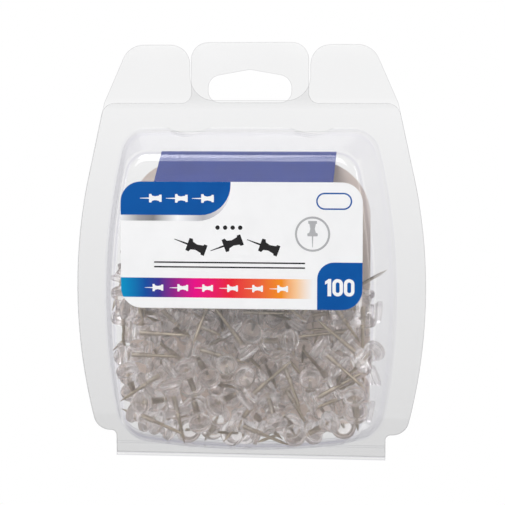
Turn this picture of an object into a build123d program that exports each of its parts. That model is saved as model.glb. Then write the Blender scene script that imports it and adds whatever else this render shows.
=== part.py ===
from build123d import *
import math
import os

import numpy as np
from scipy.spatial import cKDTree

# A hang pack of push pins: a hinged case of clear formed sheet, its labels, a card and the pins.
# The pack is drawn lying on its back: X across, Y up the pack from the fold, Z towards the front.
# It is stood up when it is written, with the peg's place in the hang hole at the origin.

# Clear sheet of the case
SHEET = 0.5
FLANGE_GAP = 0.2

# Fold along the bottom, a round bead between the two strips
BEAD_RADIUS = 0.6
BEAD_CLEARANCE = 0.08
STRIP_HEIGHT = 9.2
CREASE_HEIGHT = 5.0
CREASE_RADIUS = 0.35

# Flange outside the pocket: its widest place, and how far it draws in from there
FLANGE_WIDTH = 10.3
WIDEST_HEIGHT = 60.0
STRIP_TUCK = 14.0
STRIP_CORNER = 2.0
LOBE_TUCK = 6.9
LOBE_CORNER = 6.0
SHOULDER_TUCK = 3.5
SHOULDER_DROP = 30.0
STEP_TUCK = 10.1
STEP_RISE = 9.2
STEP_CORNER = 5.0

# Hang tab of the tray above the step, and its hole
TAB_HALF = 20.9
TAB_RISE = 21.4
TAB_CORNER = 6.0
TAB_ROOT_CORNER = 3.5
HOLE_HALF = 14.8
HOLE_LIFT = 0.2
HOLE_SIDE = 9.0
PEAK_RISE = 2.6
HOLE_FOOT_CORNER = 4.0
HOLE_SHOULDER_CORNER = 4.6

# Pull ears of the cover beside the tab
EAR_TUCK = 9.1
EAR_RISE = 20.6
EAR_OUTER_CORNER = 8.0
EAR_GAP = 0.5
EAR_INNER_CORNER = 7.0
NOTCH_LIFT = 1.0
NOTCH_CORNER = 8.4

# Pocket: its outline at the flange, its front face, and the bow of its sides and foot
POCKET_HALF = 52.2
POCKET_TOP = 117.8
POCKET_FOOT = 4.5
POCKET_DEPTH = 28.0
FACE_HALF = 45.3
TOP_DRAFT = 7.3
FOOT_DRAFT = 3.5
SIDE_BOW_RADIUS = 223.0
SIDE_BOW_HEIGHT = 58.0
FOOT_BOW_RADIUS = 256.0
POCKET_TOP_CORNER = 9.0
POCKET_FOOT_CORNER = 11.0
FRONT_ROUND = 4.0
ROOT_ROUND = 1.2
CORNER_STEPS = 8

# Snap dents in the top wall
DENT_CENTRE = 22.0
DENT_WIDTH = 13.0
DENT_DEPTH = 1.4

# Plug of the cover, which presses into the mouth of the pocket
PLUG_DEPTH = 3.5
PLUG_CLEARANCE = 0.3
PLUG_ROUND = 1.0

# Labels and card
PAPER = 0.12
ADHESIVE = 0.03
FRONT_LABEL_SIDE = 3.8
FRONT_LABEL_DROP = 10.1
FRONT_LABEL_HEIGHT = 43.4
FRONT_LABEL_CORNER = 7.0
BACK_LABEL_SIDE = 9.2
BACK_LABEL_LIFT = 8.5
BACK_LABEL_DROP = 10.8
BACK_LABEL_TOP_CORNER = 20.0
BACK_LABEL_FOOT_CORNER = 10.0
CARD_WIDTH = 62.0
CARD_THICKNESS = 0.35
CARD_DROP = 0.5
CARD_LEAN = 13.5
CARD_CLEARANCE = 0.3

# Push pin: clear handle with a steel needle moulded in
HANDLE_LENGTH = 12.0
COLLAR_RADIUS = 4.5
COLLAR_THICKNESS = 1.8
COLLAR_NECK = 3.5
WAIST_RADIUS = 2.4
WAIST_HEIGHT = 5.6
HEAD_RADIUS = 3.9
HEAD_THICKNESS = 1.9
HEAD_NECK = 3.2
HANDLE_ROUND = 0.5
NECK_ROUND = 0.2
NEEDLE_RADIUS = 0.55
NEEDLE_EXPOSED = 10.5
NEEDLE_GRIP = 7.0
NEEDLE_POINT = 3.0
NEEDLE_TIP_RADIUS = 0.06

# Heap of loose pins, and how they settle
PIN_COUNT = 100
PINS_PER_LAYER = 10
PIN_GAP = 0.2
START_BLOCK = 4
START_GAP = 0.8
WALL_GAP = 0.15
BALL_SPACING = 0.95
RING_SPACING = 1.2
WAIST_BALL = 1.5
SKIN = 0.7
REFRESH = 12
SINK = 0.05
FREE_FALL = 0.35
PUSH_SHARE = 1.4
TURN_INERTIA = 40.0
SHAKE = 0.015
EASE_FROM = 0.55
QUIET_FROM = 0.7
TRAPPED = 0.3
FIRST_STEPS = 1300
LATER_STEPS = 500
CALM_STEPS = 250
MOST_ROUNDS = 6
LIFT_PITCH = 26.0
LIFT_ROW = 13.0
LIFT_COLUMNS = 3
SEED = 15

# Places that follow from the sizes above
FACE_TOP = POCKET_TOP - TOP_DRAFT
FACE_FOOT = POCKET_FOOT + FOOT_DRAFT
WIDEST_HALF = POCKET_HALF + FLANGE_WIDTH
STRIP_HALF = WIDEST_HALF - STRIP_TUCK
LOBE_HALF = WIDEST_HALF - LOBE_TUCK
SHOULDER_HALF = WIDEST_HALF - SHOULDER_TUCK
STEP_HALF = WIDEST_HALF - STEP_TUCK
STEP_HEIGHT = POCKET_TOP + STEP_RISE
SHOULDER_HEIGHT = STEP_HEIGHT - SHOULDER_DROP
TAB_HEIGHT = STEP_HEIGHT + TAB_RISE
HOLE_FOOT = STEP_HEIGHT + HOLE_LIFT
HOLE_SHOULDER = HOLE_FOOT + HOLE_SIDE
HOLE_PEAK = HOLE_SHOULDER + PEAK_RISE
EAR_HALF = STEP_HALF - EAR_TUCK
EAR_HEIGHT = STEP_HEIGHT + EAR_RISE
EAR_INNER_HALF = TAB_HALF + EAR_GAP
NOTCH_FOOT = STEP_HEIGHT + NOTCH_LIFT
FRONT_LABEL_WIDTH = 2 * (FACE_HALF - FRONT_LABEL_SIDE)
FRONT_LABEL_CENTRE = FACE_TOP - FRONT_LABEL_DROP - FRONT_LABEL_HEIGHT / 2
BACK_LABEL_HALF = POCKET_HALF - BACK_LABEL_SIDE
BACK_LABEL_FOOT = POCKET_FOOT + BACK_LABEL_LIFT
BACK_LABEL_TOP = POCKET_TOP - BACK_LABEL_DROP
CARD_TOP = FACE_TOP - CARD_DROP
CARD_FOOT = CARD_TOP - CARD_LEAN
FOLD_DEPTH = -FLANGE_GAP / 2
STRIP_FOOT = BEAD_RADIUS + math.sqrt((BEAD_RADIUS + BEAD_CLEARANCE) ** 2 - FOLD_DEPTH**2)
COVER_FRONT = -FLANGE_GAP
COVER_BACK = -FLANGE_GAP - SHEET
INNER_DEPTH = POCKET_DEPTH - SHEET
POCKET_MIDDLE = (PLUG_DEPTH + INNER_DEPTH) / 2
DENT_RADIUS = ((DENT_WIDTH / 2) ** 2 + DENT_DEPTH**2) / (2 * DENT_DEPTH)
HEAD_FOOT = HANDLE_LENGTH - HEAD_THICKNESS
TOUCH = 0.01
STANDING = Plane(origin=(0, 0, -HOLE_PEAK), x_dir=(1, 0, 0), z_dir=(0, -1, 0))


def mirrored_face(half_edges):
    """Face inside an outline that is given by its right half."""
    left = [mirror(edge, Plane.YZ) for edge in half_edges]
    return make_face([*half_edges, *left])


def round_pair(face, x, y, radius):
    """Rounds the corner at x, y and the one across from it."""
    pair = [v for v in face.vertices() if abs(abs(v.X) - x) < TOUCH and abs(v.Y - y) < TOUCH]
    return fillet(pair, radius)


def lower_flange():
    """Right half of the strip, the lobe and the bowed side, which both halves of the case share."""
    return [
        Line((0, STRIP_FOOT), (STRIP_HALF, STRIP_FOOT)),
        Line((STRIP_HALF, STRIP_FOOT), (STRIP_HALF, STRIP_HEIGHT)),
        Line((STRIP_HALF, STRIP_HEIGHT), (LOBE_HALF, STRIP_HEIGHT)),
        ThreePointArc(
            (LOBE_HALF, STRIP_HEIGHT), (WIDEST_HALF, WIDEST_HEIGHT), (SHOULDER_HALF, SHOULDER_HEIGHT)
        ),
        Line((SHOULDER_HALF, SHOULDER_HEIGHT), (STEP_HALF, STEP_HEIGHT)),
    ]


def hang_hole():
    """Wide hole with a soft peak, which centres the pack on a peg."""
    hole = mirrored_face(
        [
            Line((0, HOLE_FOOT), (HOLE_HALF, HOLE_FOOT)),
            Line((HOLE_HALF, HOLE_FOOT), (HOLE_HALF, HOLE_SHOULDER)),
            Line((HOLE_HALF, HOLE_SHOULDER), (0, HOLE_PEAK)),
        ]
    )
    hole = round_pair(hole, HOLE_HALF, HOLE_FOOT, HOLE_FOOT_CORNER)
    return round_pair(hole, HOLE_HALF, HOLE_SHOULDER, HOLE_SHOULDER_CORNER)


def tray_flange():
    """Flange of the tray with the hang tab and its hole."""
    face = mirrored_face(
        [
            *lower_flange(),
            Line((STEP_HALF, STEP_HEIGHT), (TAB_HALF, STEP_HEIGHT)),
            Line((TAB_HALF, STEP_HEIGHT), (TAB_HALF, TAB_HEIGHT)),
            Line((TAB_HALF, TAB_HEIGHT), (0, TAB_HEIGHT)),
        ]
    )
    face = round_pair(face, STRIP_HALF, STRIP_HEIGHT, STRIP_CORNER)
    face = round_pair(face, LOBE_HALF, STRIP_HEIGHT, LOBE_CORNER)
    face = round_pair(face, STEP_HALF, STEP_HEIGHT, STEP_CORNER)
    face = round_pair(face, TAB_HALF, STEP_HEIGHT, TAB_ROOT_CORNER)
    face = round_pair(face, TAB_HALF, TAB_HEIGHT, TAB_CORNER)
    return face - hang_hole()


def cover_flange():
    """Flange of the cover with two pull ears and a notch behind the hang hole."""
    face = mirrored_face(
        [
            *lower_flange(),
            Line((STEP_HALF, STEP_HEIGHT), (EAR_HALF, EAR_HEIGHT)),
            Line((EAR_HALF, EAR_HEIGHT), (EAR_INNER_HALF, EAR_HEIGHT)),
            Line((EAR_INNER_HALF, EAR_HEIGHT), (EAR_INNER_HALF, NOTCH_FOOT)),
            Line((EAR_INNER_HALF, NOTCH_FOOT), (0, NOTCH_FOOT)),
        ]
    )
    face = round_pair(face, STRIP_HALF, STRIP_HEIGHT, STRIP_CORNER)
    face = round_pair(face, LOBE_HALF, STRIP_HEIGHT, LOBE_CORNER)
    face = round_pair(face, EAR_HALF, EAR_HEIGHT, EAR_OUTER_CORNER)
    face = round_pair(face, EAR_INNER_HALF, EAR_HEIGHT, EAR_INNER_CORNER)
    return round_pair(face, EAR_INNER_HALF, NOTCH_FOOT, NOTCH_CORNER)


def side_at(half, y):
    """Half width of a bowed side at height y."""
    return half - SIDE_BOW_RADIUS + np.sqrt(SIDE_BOW_RADIUS**2 - (y - SIDE_BOW_HEIGHT) ** 2)


def foot_at(foot, x):
    """Height of the bowed foot at a distance x from the middle."""
    return foot + FOOT_BOW_RADIUS - np.sqrt(FOOT_BOW_RADIUS**2 - x**2)


def pocket_sizes(depth, inset):
    """Half width, top and foot of the drafted pocket at a depth, drawn in by inset."""
    share = depth / POCKET_DEPTH
    half = POCKET_HALF + (FACE_HALF - POCKET_HALF) * share - inset
    top = POCKET_TOP + (FACE_TOP - POCKET_TOP) * share - inset
    foot = POCKET_FOOT + (FACE_FOOT - POCKET_FOOT) * share + inset
    return half, top, foot


def pocket_section(depth, inset, at_depth=None):
    """Pocket outline at a depth, drawn in by inset and laid at at_depth."""
    half, top, foot = pocket_sizes(depth, inset)
    top_x = float(side_at(half, top))
    corner_x = half
    for _ in range(CORNER_STEPS):
        corner_y = float(foot_at(foot, corner_x))
        corner_x = float(side_at(half, corner_y))
    face = mirrored_face(
        [
            ThreePointArc((0, foot), (corner_x / 2, float(foot_at(foot, corner_x / 2))), (corner_x, corner_y)),
            ThreePointArc((corner_x, corner_y), (half, SIDE_BOW_HEIGHT), (top_x, top)),
            Line((top_x, top), (0, top)),
        ]
    )
    face = round_pair(face, corner_x, corner_y, POCKET_FOOT_CORNER - inset)
    face = round_pair(face, top_x, top, POCKET_TOP_CORNER - inset)
    return Pos(0, 0, depth if at_depth is None else at_depth) * face


def front_rim(body):
    """Edges round the front face of a pocket body."""
    return body.faces().sort_by(Axis.Z)[-1].edges()


def dents(grown):
    """Two shallow round dents across the top wall, grown outwards by a wall."""
    radius = DENT_RADIUS + grown
    centre = POCKET_TOP - DENT_DEPTH + DENT_RADIUS
    dent = extrude(Circle(radius), POCKET_DEPTH)
    return [Pos(x, centre, 0) * dent for x in (-DENT_CENTRE, DENT_CENTRE)]


def make_tray():
    """Front half of the case: flange, hang tab and the deep pocket."""
    outer = loft([pocket_section(0, 0), pocket_section(POCKET_DEPTH, 0)], ruled=True)
    outer = fillet(front_rim(outer), FRONT_ROUND)
    inner = loft([pocket_section(0, SHEET), pocket_section(INNER_DEPTH, SHEET)], ruled=True)
    inner = fillet(front_rim(inner), FRONT_ROUND - SHEET)
    body = extrude(tray_flange(), SHEET) + outer
    root = pocket_section(SHEET, 0).wire()
    body = fillet([e for e in body.edges() if root.distance_to(e @ 0.5) < TOUCH], ROOT_ROUND)
    crease = Pos(0, CREASE_HEIGHT, SHEET) * Rot(0, 90, 0) * Cylinder(CREASE_RADIUS, 2 * STRIP_HALF)
    body += crease
    for dent in dents(0):
        body -= Pos(0, 0, SHEET) * dent
    for dent in dents(SHEET):
        inner -= dent
    return body - inner


def make_cover():
    """Back half of the case: flange, pull ears and the plug that closes the pocket."""
    inset = SHEET + PLUG_CLEARANCE
    plug = loft([pocket_section(0, inset, COVER_FRONT), pocket_section(PLUG_DEPTH, inset)], ruled=True)
    plug = fillet(front_rim(plug), PLUG_ROUND)
    recess = loft(
        [
            pocket_section(0, inset + SHEET, COVER_BACK),
            pocket_section(PLUG_DEPTH, inset + SHEET, PLUG_DEPTH - SHEET),
        ],
        ruled=True,
    )
    recess = fillet(front_rim(recess), PLUG_ROUND - SHEET / 2)
    for dent in dents(inset):
        plug -= dent
    for dent in dents(inset + SHEET):
        recess -= Pos(0, 0, COVER_BACK) * dent
    return Pos(0, 0, COVER_BACK) * extrude(cover_flange(), SHEET) + plug - recess


def make_bead():
    """Round bead of the fold, on the axis that the cover turns about."""
    return Pos(0, BEAD_RADIUS, FOLD_DEPTH) * Rot(0, 90, 0) * Cylinder(BEAD_RADIUS, 2 * STRIP_HALF)


def make_front_label():
    """Printed paper label on the front face of the pocket."""
    sheet = extrude(RectangleRounded(FRONT_LABEL_WIDTH, FRONT_LABEL_HEIGHT, FRONT_LABEL_CORNER), PAPER)
    return Pos(0, FRONT_LABEL_CENTRE, POCKET_DEPTH + ADHESIVE) * sheet


def make_back_label():
    """Paper label in the recess behind the plug."""
    face = mirrored_face(
        [
            Line((0, BACK_LABEL_FOOT), (BACK_LABEL_HALF, BACK_LABEL_FOOT)),
            Line((BACK_LABEL_HALF, BACK_LABEL_FOOT), (BACK_LABEL_HALF, BACK_LABEL_TOP)),
            Line((BACK_LABEL_HALF, BACK_LABEL_TOP), (0, BACK_LABEL_TOP)),
        ]
    )
    face = round_pair(face, BACK_LABEL_HALF, BACK_LABEL_FOOT, BACK_LABEL_FOOT_CORNER)
    face = round_pair(face, BACK_LABEL_HALF, BACK_LABEL_TOP, BACK_LABEL_TOP_CORNER)
    return Pos(0, 0, PLUG_DEPTH - SHEET - ADHESIVE - PAPER) * extrude(face, PAPER)


def make_card():
    """Loose card that leans across the pocket from the plug to the front wall."""
    back = PLUG_DEPTH + CARD_CLEARANCE
    front = INNER_DEPTH - CARD_CLEARANCE
    lean = math.atan2(CARD_LEAN, front - back)
    length = math.hypot(front - back, CARD_LEAN) - CARD_THICKNESS
    middle = Pos(0, (CARD_TOP + CARD_FOOT) / 2, (back + front) / 2)
    return middle * Rot(math.degrees(lean), 0, 0) * Box(CARD_WIDTH, CARD_THICKNESS, length)


def make_handle():
    """Clear handle: collar at the needle, waist for the fingers, head for the thumb, and the needle's bore."""
    outline = [
        Line((NEEDLE_RADIUS, 0), (COLLAR_RADIUS, 0)),
        Line((COLLAR_RADIUS, 0), (COLLAR_RADIUS, COLLAR_THICKNESS)),
        Line((COLLAR_RADIUS, COLLAR_THICKNESS), (COLLAR_NECK, COLLAR_THICKNESS)),
        ThreePointArc((COLLAR_NECK, COLLAR_THICKNESS), (WAIST_RADIUS, WAIST_HEIGHT), (HEAD_NECK, HEAD_FOOT)),
        Line((HEAD_NECK, HEAD_FOOT), (HEAD_RADIUS, HEAD_FOOT)),
        Line((HEAD_RADIUS, HEAD_FOOT), (HEAD_RADIUS, HANDLE_LENGTH)),
        Line((HEAD_RADIUS, HANDLE_LENGTH), (0, HANDLE_LENGTH)),
        Line((0, HANDLE_LENGTH), (0, NEEDLE_GRIP)),
        Line((0, NEEDLE_GRIP), (NEEDLE_RADIUS, NEEDLE_GRIP)),
        Line((NEEDLE_RADIUS, NEEDLE_GRIP), (NEEDLE_RADIUS, 0)),
    ]
    face = make_face(outline)
    necks = [v for v in face.vertices() if abs(v.X - COLLAR_NECK) < TOUCH or abs(v.X - HEAD_NECK) < TOUCH]
    face = fillet(necks, NECK_ROUND)
    rims = [v for v in face.vertices() if v.X > HEAD_RADIUS - TOUCH]
    face = fillet(rims, HANDLE_ROUND)
    return revolve(Plane.XZ * face, Axis.Z)


def make_needle():
    """Steel needle with its shank in the handle and a ground point."""
    shoulder = NEEDLE_POINT - NEEDLE_EXPOSED
    outline = Polyline(
        (0, NEEDLE_GRIP),
        (NEEDLE_RADIUS, NEEDLE_GRIP),
        (NEEDLE_RADIUS, shoulder),
        (NEEDLE_TIP_RADIUS, -NEEDLE_EXPOSED),
        (0, -NEEDLE_EXPOSED),
        close=True,
    )
    return revolve(Plane.XZ * make_face(outline), Axis.Z)


def neck_radius(s):
    """Radius of the waist along the handle."""
    return np.interp(s, [COLLAR_THICKNESS, WAIST_HEIGHT, HEAD_FOOT], [COLLAR_NECK, WAIST_RADIUS, HEAD_NECK])


def ball_ring(radius, height, size):
    """Balls of one size round a ring, close enough to overlap: rows of x, y, z and size."""
    count = max(1, math.ceil(2 * math.pi * radius / BALL_SPACING))
    turns = np.arange(count) * 2 * math.pi / count
    flat = np.ones(count)
    return np.column_stack([radius * np.cos(turns), radius * np.sin(turns), height * flat, size * flat])


def ball_disc(radius, thickness, middle):
    """Balls that fill a disc of the handle."""
    size = thickness / 2 + PIN_GAP
    return [ball_ring(r, middle, size) for r in np.arange(radius - thickness / 2, 0, -RING_SPACING)]


def pin_balls():
    """One pin as a cluster of balls, with a gap kept round it."""
    rings = ball_disc(COLLAR_RADIUS, COLLAR_THICKNESS, COLLAR_THICKNESS / 2)
    rings += ball_disc(HEAD_RADIUS, HEAD_THICKNESS, HANDLE_LENGTH - HEAD_THICKNESS / 2)
    for s in np.arange(COLLAR_THICKNESS + WAIST_BALL / 2, HEAD_FOOT, WAIST_BALL):
        rings.append(ball_ring(neck_radius(s) - WAIST_BALL, s, WAIST_BALL + PIN_GAP))
    for s in np.arange(0, NEEDLE_EXPOSED, NEEDLE_RADIUS + PIN_GAP):
        rings.append(ball_ring(0, -s, NEEDLE_RADIUS + PIN_GAP))
    return np.vstack(rings)


def frame_of(axis):
    """Three directions of a pin, the last along its axis."""
    across = np.cross(np.eye(3)[np.argmin(np.abs(axis))], axis)
    across /= np.linalg.norm(across)
    return np.column_stack([across, np.cross(axis, across), axis])


class Heap:
    """Loose pins that sink into the pocket, push each other apart and come to rest."""

    def __init__(self):
        self.random = np.random.default_rng(SEED)
        balls = pin_balls()
        self.shape, self.size = balls[:, :3], np.tile(balls[:, 3], PIN_COUNT)
        self.owner = np.repeat(np.arange(PIN_COUNT), len(balls))
        self.place, self.frame = self.stacked()
        self.near = None

    def stacked(self):
        """Start: blocks of four pins side by side, each block turned its own way, in a tall stack."""
        pitch = HANDLE_LENGTH + NEEDLE_EXPOSED + START_GAP
        columns = round(2 * FACE_HALF / pitch)
        aside = COLLAR_RADIUS + START_GAP / 2
        places, frames = [], []
        for pin in range(PIN_COUNT):
            block, quarter = divmod(pin, START_BLOCK)
            row, column = divmod(block, columns)
            if quarter == 0:
                order = np.roll(np.eye(3), self.random.integers(3), axis=0)
            axis = order[0] * self.random.choice([-1, 1])
            centre = np.array([(column - (columns - 1) / 2) * pitch, POCKET_FOOT + (row + 1) * pitch, POCKET_MIDDLE])
            centre += aside * (order[1] * (-1) ** quarter + order[2] * (-1) ** (quarter // 2))
            places.append(centre - axis * (HANDLE_LENGTH - NEEDLE_EXPOSED) / 2)
            frames.append(frame_of(axis))
        return np.array(places), np.array(frames)

    def balls(self):
        """Centres of all balls where the pins lie."""
        return (self.place[:, None] + np.einsum("nij,mj->nmi", self.frame, self.shape)).reshape(-1, 3)

    def wall_push(self, balls):
        """Push of the pocket's walls and the plug on each ball."""
        x, y, z = balls.T
        inner_round = FRONT_ROUND - SHEET
        into_round = np.clip(z - INNER_DEPTH + inner_round, 0, inner_round)
        rounding = inner_round - np.sqrt(inner_round**2 - into_round**2)
        half, _, foot = pocket_sizes(np.clip(z, 0, INNER_DEPTH), SHEET + WALL_GAP + rounding)
        side = side_at(half, np.clip(y, POCKET_FOOT, POCKET_TOP))
        base = foot_at(foot, np.clip(x, -POCKET_HALF, POCKET_HALF))
        past_x = np.clip(np.abs(x) - side + POCKET_FOOT_CORNER, 0, None)
        past_y = np.clip(base + POCKET_FOOT_CORNER - y, 0, None)
        past = np.maximum(np.hypot(past_x, past_y), TOUCH)
        sunk = np.clip(past + self.size - POCKET_FOOT_CORNER, 0, None) / past
        front = np.clip(z + self.size + WALL_GAP - INNER_DEPTH, 0, None)
        back = np.clip(PLUG_DEPTH + WALL_GAP + self.size - z, 0, None)
        return np.column_stack([-np.sign(x) * past_x * sunk, past_y * sunk, back - front])

    def contacts(self, balls):
        """Pairs of balls of different pins that overlap, how far, and the way from one to the other."""
        a, b = self.near.T
        gap = balls[a] - balls[b]
        apart = np.linalg.norm(gap, axis=1)
        sunk = self.size[a] + self.size[b] - apart
        hit = sunk > 0
        return a[hit], b[hit], sunk[hit], gap[hit] / apart[hit, None]

    def step(self, ease):
        """One small move of every pin: down, and out of whatever it overlaps."""
        balls = self.balls()
        a, b, sunk, way = self.contacts(balls)
        wall = self.wall_push(balls)
        walled = np.flatnonzero(wall.any(axis=1))
        push = way * sunk[:, None] / 2
        push = np.concatenate([push, -push, wall[walled]])
        at = np.concatenate([a, b, walled])
        pin = self.owner[at]
        strength = np.linalg.norm(push, axis=1)
        twist = np.cross(balls[at] - self.place[pin], push)
        total = np.bincount(pin, strength, PIN_COUNT)
        both = np.column_stack([push, twist]) * strength[:, None]
        moved = np.column_stack([np.bincount(pin, column, PIN_COUNT) for column in both.T])
        moved *= PUSH_SHARE / np.maximum(total, TOUCH**2)[:, None]
        self.place += moved[:, :3]
        self.place[:, 1] -= np.where(total > 0, SINK, FREE_FALL) * ease
        self.turn(moved[:, 3:] / TURN_INERTIA + self.random.normal(size=(PIN_COUNT, 3)) * SHAKE * ease)

    def turn(self, by):
        """Turns every pin by a small angle and squares its frame up again."""
        frame = self.frame + np.cross(by[:, None], self.frame, axisa=2, axisb=1, axisc=1)
        axis = frame[:, :, 2] / np.linalg.norm(frame[:, :, 2], axis=1)[:, None]
        across = frame[:, :, 0] - axis * np.sum(frame[:, :, 0] * axis, axis=1)[:, None]
        across /= np.linalg.norm(across, axis=1)[:, None]
        self.frame = np.stack([across, np.cross(axis, across), axis], axis=2)

    def settle(self, steps, pull):
        """Lets the pins sink for a while, ever more gently, and then only push apart."""
        for count in range(steps):
            if count % REFRESH == 0:
                near = cKDTree(self.balls()).query_pairs(2 * self.size.max() + SKIN, output_type="ndarray")
                self.near = near[self.owner[near[:, 0]] != self.owner[near[:, 1]]]
            ease = np.interp(count / steps, [EASE_FROM, QUIET_FROM], [1, 0])
            self.step(ease * pull)

    def lift_trapped(self):
        """Lifts pins that have run through a neighbour to above the heap, and says how many."""
        a, _, sunk, _ = self.contacts(self.balls())
        trapped = np.unique(self.owner[a[sunk > TRAPPED]])
        top = self.place[:, 1].max() + HANDLE_LENGTH
        for count, pin in enumerate(trapped):
            row, column = divmod(count, LIFT_COLUMNS)
            self.frame[pin] = np.eye(3)[[2, 0, 1]]
            self.place[pin] = ((column - 1) * LIFT_PITCH, top + row * LIFT_ROW, POCKET_MIDDLE)
        return len(trapped)


def heap_places():
    """Places of all pins, from the lowest up."""
    heap = Heap()
    heap.settle(FIRST_STEPS, 1)
    rounds = 0
    while rounds < MOST_ROUNDS and heap.lift_trapped():
        heap.settle(LATER_STEPS, 1)
        rounds += 1
    heap.settle(CALM_STEPS, 0)
    middle = heap.place[:, 1] + heap.frame[:, 1, 2] * HANDLE_LENGTH / 2
    worst = heap.contacts(heap.balls())[2].max()
    print(f"heap up to {middle.max():.1f} mm, gaps of {2 * PIN_GAP - worst:.2f} mm or more, {rounds} more rounds")
    order = np.argsort(middle)
    return [Plane(origin=tuple(heap.place[n]), z_dir=tuple(heap.frame[n, :, 2])).location for n in order]


def write(name, *solids):
    """Stands the pieces of one node up and writes them."""
    placed = [STANDING.location * solid for shape in solids for solid in shape.solids()]
    export_step(placed[0] if len(placed) == 1 else Compound(placed), f"parts/{name}.step")


def build():
    os.makedirs("parts", exist_ok=True)
    write("tray", make_tray())
    write("cover", make_cover())
    write("fold_bead", make_bead())
    write("front_label", make_front_label())
    write("back_label", make_back_label())
    write("insert_card", make_card())
    places = heap_places()
    handle, needle = make_handle(), make_needle()
    for first in range(0, PIN_COUNT, PINS_PER_LAYER):
        layer = places[first : first + PINS_PER_LAYER]
        number = first // PINS_PER_LAYER + 1
        write(f"pin_handles_{number:02d}", *[place * handle for place in layer])
        write(f"pin_needles_{number:02d}", *[place * needle for place in layer])


build()
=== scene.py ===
# %% [markdown]
# # A hang pack of push pins
# A clear case of thin formed sheet holds a heap of clear pins, a loose card and two paper labels.
# The solid model gives every piece its size and place, and its sheet parts are fine enough to be shown
# as they are. This lesson gives them their finishes, prints both labels and moulds the handles of the
# pins again, each as one clear body round its needle.
# Blender counts in metres. Sizes that are easier to read in millimetres are multiplied by MM.

import math
import random

import bmesh
import bpy
import numpy as np
from mathutils import Matrix, Vector


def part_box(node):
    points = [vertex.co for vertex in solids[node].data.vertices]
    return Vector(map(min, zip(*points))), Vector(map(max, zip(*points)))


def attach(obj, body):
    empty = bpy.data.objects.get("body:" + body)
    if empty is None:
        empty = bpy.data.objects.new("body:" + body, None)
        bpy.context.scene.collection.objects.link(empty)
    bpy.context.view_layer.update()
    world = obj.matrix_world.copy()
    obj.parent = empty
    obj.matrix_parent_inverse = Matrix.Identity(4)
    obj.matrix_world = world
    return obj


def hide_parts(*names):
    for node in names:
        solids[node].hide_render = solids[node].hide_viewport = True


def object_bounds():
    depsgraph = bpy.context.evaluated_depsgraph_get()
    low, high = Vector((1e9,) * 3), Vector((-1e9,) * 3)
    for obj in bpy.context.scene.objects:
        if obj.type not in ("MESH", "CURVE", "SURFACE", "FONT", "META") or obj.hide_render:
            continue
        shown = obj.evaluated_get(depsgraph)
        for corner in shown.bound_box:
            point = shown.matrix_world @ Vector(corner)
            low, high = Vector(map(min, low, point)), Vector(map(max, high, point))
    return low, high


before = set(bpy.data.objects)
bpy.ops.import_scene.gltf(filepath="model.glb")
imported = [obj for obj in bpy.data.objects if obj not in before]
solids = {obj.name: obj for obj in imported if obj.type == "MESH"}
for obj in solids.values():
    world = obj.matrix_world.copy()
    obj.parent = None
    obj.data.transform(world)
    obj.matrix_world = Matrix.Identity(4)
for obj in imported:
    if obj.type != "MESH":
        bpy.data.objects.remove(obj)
solid_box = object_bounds()
MM = 0.001
print("size of the solids in mm:", [round(v / MM, 1) for v in solid_box[1] - solid_box[0]])

# %% [markdown]
# ## Camera
# The pack is seen from a little to its right and a little above, through a long lens. One could push
# a camera about until the picture fits, but two angles, a distance and a width can be found one by one.
# The slope of the pack's level edges and the shift of its front face against its flange give both
# angles. The lens follows from the distance and from how wide a stretch of the flange's plane fills
# the picture.

# %% Place the camera
CAMERA_TURN = math.radians(6.3)
CAMERA_RISE = math.radians(4.8)
CAMERA_DISTANCE = 0.66
PICTURE_WIDTH = 179.8 * MM
NEAREST_SEEN = 0.01
AIM = Vector((0.9 * MM, 0.0, -64.8 * MM))


def looking_back(offset):
    """Turn of a camera or lamp that stands at this offset from what it looks at."""
    return (-offset).to_track_quat("-Z", "Y").to_euler()


towards_camera = Vector(
    (
        math.sin(CAMERA_TURN) * math.cos(CAMERA_RISE),
        -math.cos(CAMERA_TURN) * math.cos(CAMERA_RISE),
        math.sin(CAMERA_RISE),
    )
)
lens = bpy.data.cameras.new("camera")
lens.lens = lens.sensor_width * CAMERA_DISTANCE / PICTURE_WIDTH
lens.clip_start = NEAREST_SEEN
camera = bpy.data.objects.new("camera", lens)
camera.location = AIM + towards_camera * CAMERA_DISTANCE
camera.rotation_euler = looking_back(towards_camera)
bpy.context.scene.collection.objects.link(camera)
bpy.context.scene.camera = camera
print("focal length", round(lens.lens, 1), "mm")

# %% [markdown]
# ## White room
# Clear plastic shows what stands around it, so the pack hangs in a room that is plain white on all
# sides. Walls could be built for it, but the world's background does the same with a few nodes.
# It is white to the eye and in gloss and glass, and dimmer where it only gives light, so that the lamps
# can shape the pack. A ray through the heap meets many clear layers, so it may bounce often.

# %% Colour management and bounces
CLEAR_LAYERS = 32
scene = bpy.context.scene
scene.view_settings.view_transform = "Standard"
scene.cycles.max_bounces = CLEAR_LAYERS
scene.cycles.transmission_bounces = CLEAR_LAYERS
scene.cycles.transparent_max_bounces = CLEAR_LAYERS
print("a ray may pass", CLEAR_LAYERS, "clear layers")


# %% Helpers that add nodes, do sums and mix shaders
def add(tree, kind, inputs=None, **settings):
    """Adds a node with its settings; an input is a plain value or the socket it is wired to."""
    made = tree.nodes.new(kind)
    for key, value in settings.items():
        setattr(made, key, value)
    for key, value in (inputs or {}).items():
        if isinstance(value, bpy.types.NodeSocket):
            tree.links.new(value, made.inputs[key])
        else:
            made.inputs[key].default_value = value
    return made


def calculate(tree, operation, one, other):
    """Result of a sum with two numbers."""
    return add(tree, "ShaderNodeMath", {0: one, 1: other}, operation=operation).outputs[0]


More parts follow.
